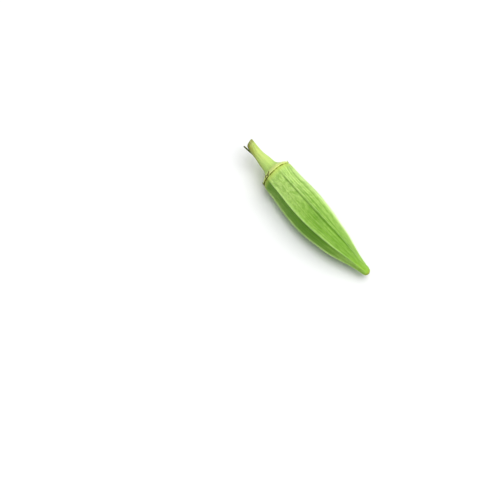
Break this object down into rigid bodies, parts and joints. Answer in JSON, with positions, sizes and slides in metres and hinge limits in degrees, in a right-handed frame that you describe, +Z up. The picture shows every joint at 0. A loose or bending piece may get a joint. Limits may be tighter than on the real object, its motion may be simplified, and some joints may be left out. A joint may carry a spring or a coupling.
{
  "type": "okra pod",
  "caption": "Slender ribbed okra pod that tapers to a blunt, slightly hooked tip, with its flared cap and short cut stem, lying on its side.",
  "frame": {"origin": "middle of the pod's length and width, on the surface it lies on", "axes": "+X along the pod from the cut stem to the tip, +Z up from the surface"},
  "size_m": [0.0926, 0.0202, 0.019],
  "materials": {
    "pod_skin": "fresh green plant skin, satin, with fine lengthwise streaks, paler rib crests and a faint down",
    "stalk_skin": "yellow-green plant skin, satin, paler at the rim, with a thin brown scar line and a dry brown cut"
  },
  "bodies": {
    "root": {"capsule": "pod_skin", "stalk": "stalk_skin"}
  },
  "joints": []
}
